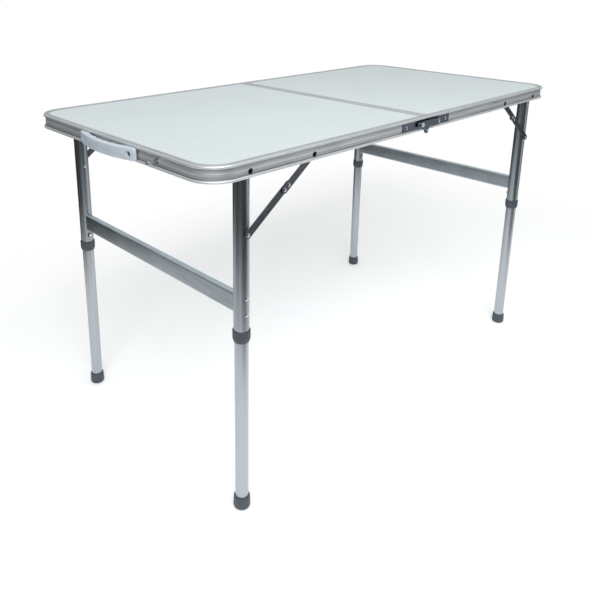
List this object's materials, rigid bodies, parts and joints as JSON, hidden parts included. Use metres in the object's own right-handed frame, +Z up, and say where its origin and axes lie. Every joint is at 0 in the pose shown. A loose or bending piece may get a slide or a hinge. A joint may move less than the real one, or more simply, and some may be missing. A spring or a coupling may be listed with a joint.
{
  "type": "folding table",
  "caption": "Fold-in-half camping table: trim-framed panels on locking hinges, folding telescopic leg frames with elbow braces, and a carrying handle.",
  "frame": {"origin": "on the floor under the middle of the seam between the halves", "axes": "+X along the table away from the handle, +Y across it from front to back, +Z up"},
  "size_m": [1.2315, 0.611, 0.7],
  "materials": {
    "laminate": "satin white laminate",
    "trim_aluminium": "satin extrusion",
    "upper_leg_aluminium": "satin drawn tube",
    "lower_leg_aluminium": "satin drawn tube",
    "crossbar_aluminium": "brushed",
    "moulded_plastic": "moulded slate grey",
    "brace_steel": "zinc plated",
    "hinge_steel": "dark zinc plated",
    "rivet_steel": "plated",
    "handle_plastic": "moulded pale blue grey",
    "button_brass": "plain"
  },
  "bodies": {
    "left_half": {"left_panel": "laminate", "left_edge_trim": "trim_aluminium", "left_seam_strip": "trim_aluminium", "left_pivot_rivets": "rivet_steel", "left_hinge_rivets": "rivet_steel", "front_left_hinge_leaf": "hinge_steel", "back_left_hinge_leaf": "hinge_steel", "hinge_pins": "rivet_steel", "lock_studs": "rivet_steel", "carry_handle": "handle_plastic", "handle_screws": "rivet_steel", "closing_stud": "rivet_steel"},
    "right_half": {"right_panel": "laminate", "right_edge_trim": "trim_aluminium", "right_seam_strip": "trim_aluminium", "right_pivot_rivets": "rivet_steel", "right_hinge_rivets": "rivet_steel", "front_right_hinge_leaf": "hinge_steel", "back_right_hinge_leaf": "hinge_steel", "lock_pivots": "rivet_steel", "closing_hook_rivet": "rivet_steel"},
    "left_leg_frame": {"front_left_upper_tube": "upper_leg_aluminium", "back_left_upper_tube": "upper_leg_aluminium", "left_crossbar": "crossbar_aluminium", "left_collars": "moulded_plastic", "left_crossbar_rivets": "rivet_steel", "left_brace_leg_rivets": "rivet_steel"},
    "front_left_lower_leg": {"front_left_lower_tube": "lower_leg_aluminium", "front_left_foot": "moulded_plastic"},
    "front_left_button": {"front_left_spring_button": "button_brass"},
    "front_left_upper_link": {"front_left_brace_upper_link": "brace_steel", "front_left_elbow_rivets": "rivet_steel"},
    "front_left_lower_link": {"front_left_brace_lower_link": "brace_steel"},
    "back_left_lower_leg": {"back_left_lower_tube": "lower_leg_aluminium", "back_left_foot": "moulded_plastic"},
    "back_left_button": {"back_left_spring_button": "button_brass"},
    "back_left_upper_link": {"back_left_brace_upper_link": "brace_steel", "back_left_elbow_rivets": "rivet_steel"},
    "back_left_lower_link": {"back_left_brace_lower_link": "brace_steel"},
    "right_leg_frame": {"front_right_upper_tube": "upper_leg_aluminium", "back_right_upper_tube": "upper_leg_aluminium", "right_crossbar": "crossbar_aluminium", "right_collars": "moulded_plastic", "right_crossbar_rivets": "rivet_steel", "right_brace_leg_rivets": "rivet_steel"},
    "front_right_lower_leg": {"front_right_lower_tube": "lower_leg_aluminium", "front_right_foot": "moulded_plastic"},
    "front_right_button": {"front_right_spring_button": "button_brass"},
    "front_right_upper_link": {"front_right_brace_upper_link": "brace_steel", "front_right_elbow_rivets": "rivet_steel"},
    "front_right_lower_link": {"front_right_brace_lower_link": "brace_steel"},
    "back_right_lower_leg": {"back_right_lower_tube": "lower_leg_aluminium", "back_right_foot": "moulded_plastic"},
    "back_right_button": {"back_right_spring_button": "button_brass"},
    "back_right_upper_link": {"back_right_brace_upper_link": "brace_steel", "back_right_elbow_rivets": "rivet_steel"},
    "back_right_lower_link": {"back_right_brace_lower_link": "brace_steel"},
    "front_lock": {"front_lock_lever": "hinge_steel"},
    "back_lock": {"back_lock_lever": "hinge_steel"},
    "closing_hook": {"closing_hook": "hinge_steel"}
  },
  "joints": [
    {"name": "top_fold", "type": "hinge", "parent": "left_half", "child": "right_half", "pos_m": [0, 0, 0.6685], "axis": [0, 1, 0], "range_deg": [0, 70]},
    {"name": "left_leg_fold", "type": "hinge", "parent": "left_half", "child": "left_leg_frame", "pos_m": [-0.511, 0, 0.6807], "axis": [0, -1, 0], "range_deg": [0, 89]},
    {"name": "front_left_leg_slide", "type": "slide", "parent": "left_leg_frame", "child": "front_left_lower_leg", "axis": [0, 0, 1], "range_m": [0, 0.255]},
    {"name": "front_left_button_press", "type": "slide", "parent": "left_leg_frame", "child": "front_left_button", "axis": [0, 1, 0], "range_m": [-0.004, 0], "stiffness_N_per_m": 800},
    {"name": "front_left_upper_link_turn", "type": "hinge", "parent": "left_half", "child": "front_left_upper_link", "pos_m": [-0.356, -0.292, 0.6805], "axis": [0, -1, 0], "range_deg": [0, 146.31]},
    {"name": "front_left_lower_link_turn", "type": "hinge", "parent": "left_leg_frame", "child": "front_left_lower_link", "pos_m": [-0.511, -0.29, 0.5667], "axis": [0, 1, 0], "range_deg": [0, 122.89]},
    {"name": "back_left_leg_slide", "type": "slide", "parent": "left_leg_frame", "child": "back_left_lower_leg", "axis": [0, 0, 1], "range_m": [0, 0.255]},
    {"name": "back_left_button_press", "type": "slide", "parent": "left_leg_frame", "child": "back_left_button", "axis": [0, -1, 0], "range_m": [-0.004, 0], "stiffness_N_per_m": 800},
    {"name": "back_left_upper_link_turn", "type": "hinge", "parent": "left_half", "child": "back_left_upper_link", "pos_m": [-0.356, 0.292, 0.6805], "axis": [0, -1, 0], "range_deg": [0, 146.31]},
    {"name": "back_left_lower_link_turn", "type": "hinge", "parent": "left_leg_frame", "child": "back_left_lower_link", "pos_m": [-0.511, 0.29, 0.5667], "axis": [0, 1, 0], "range_deg": [0, 122.89]},
    {"name": "right_leg_fold", "type": "hinge", "parent": "right_half", "child": "right_leg_frame", "pos_m": [0.511, 0, 0.6807], "axis": [0, 1, 0], "range_deg": [0, 89]},
    {"name": "front_right_leg_slide", "type": "slide", "parent": "right_leg_frame", "child": "front_right_lower_leg", "axis": [0, 0, 1], "range_m": [0, 0.255]},
    {"name": "front_right_button_press", "type": "slide", "parent": "right_leg_frame", "child": "front_right_button", "axis": [0, 1, 0], "range_m": [-0.004, 0], "stiffness_N_per_m": 800},
    {"name": "front_right_upper_link_turn", "type": "hinge", "parent": "right_half", "child": "front_right_upper_link", "pos_m": [0.356, -0.292, 0.6805], "axis": [0, 1, 0], "range_deg": [0, 146.31]},
    {"name": "front_right_lower_link_turn", "type": "hinge", "parent": "right_leg_frame", "child": "front_right_lower_link", "pos_m": [0.511, -0.29, 0.5667], "axis": [0, -1, 0], "range_deg": [0, 122.89]},
    {"name": "back_right_leg_slide", "type": "slide", "parent": "right_leg_frame", "child": "back_right_lower_leg", "axis": [0, 0, 1], "range_m": [0, 0.255]},
    {"name": "back_right_button_press", "type": "slide", "parent": "right_leg_frame", "child": "back_right_button", "axis": [0, -1, 0], "range_m": [-0.004, 0], "stiffness_N_per_m": 800},
    {"name": "back_right_upper_link_turn", "type": "hinge", "parent": "right_half", "child": "back_right_upper_link", "pos_m": [0.356, 0.292, 0.6805], "axis": [0, 1, 0], "range_deg": [0, 146.31]},
    {"name": "back_right_lower_link_turn", "type": "hinge", "parent": "right_leg_frame", "child": "back_right_lower_link", "pos_m": [0.511, 0.29, 0.5667], "axis": [0, -1, 0], "range_deg": [0, 122.89]},
    {"name": "front_lock_turn", "type": "hinge", "parent": "right_half", "child": "front_lock", "pos_m": [0.042, -0.301, 0.6845], "axis": [0, 1, 0], "range_deg": [0, 71]},
    {"name": "back_lock_turn", "type": "hinge", "parent": "right_half", "child": "back_lock", "pos_m": [0.042, 0.301, 0.6845], "axis": [0, 1, 0], "range_deg": [0, 71]},
    {"name": "closing_hook_swing", "type": "hinge", "parent": "right_half", "child": "closing_hook", "pos_m": [0.6, -0.157, 0.6845], "axis": [1, 0, 0], "range_deg": [-90, 90]}
  ],
  "couplings": [
    {"joint": "front_left_upper_link_turn", "follows": "left_leg_fold", "ratio": 1.6428},
    {"joint": "front_left_lower_link_turn", "follows": "left_leg_fold", "ratio": 1.3796},
    {"joint": "back_left_upper_link_turn", "follows": "left_leg_fold", "ratio": 1.6428},
    {"joint": "back_left_lower_link_turn", "follows": "left_leg_fold", "ratio": 1.3796},
    {"joint": "front_right_upper_link_turn", "follows": "right_leg_fold", "ratio": 1.6428},
    {"joint": "front_right_lower_link_turn", "follows": "right_leg_fold", "ratio": 1.3796},
    {"joint": "back_right_upper_link_turn", "follows": "right_leg_fold", "ratio": 1.6428},
    {"joint": "back_right_lower_link_turn", "follows": "right_leg_fold", "ratio": 1.3796},
    {"joint": "front_lock_turn", "follows": "top_fold", "ratio": 1},
    {"joint": "back_lock_turn", "follows": "top_fold", "ratio": 1}
  ]
}
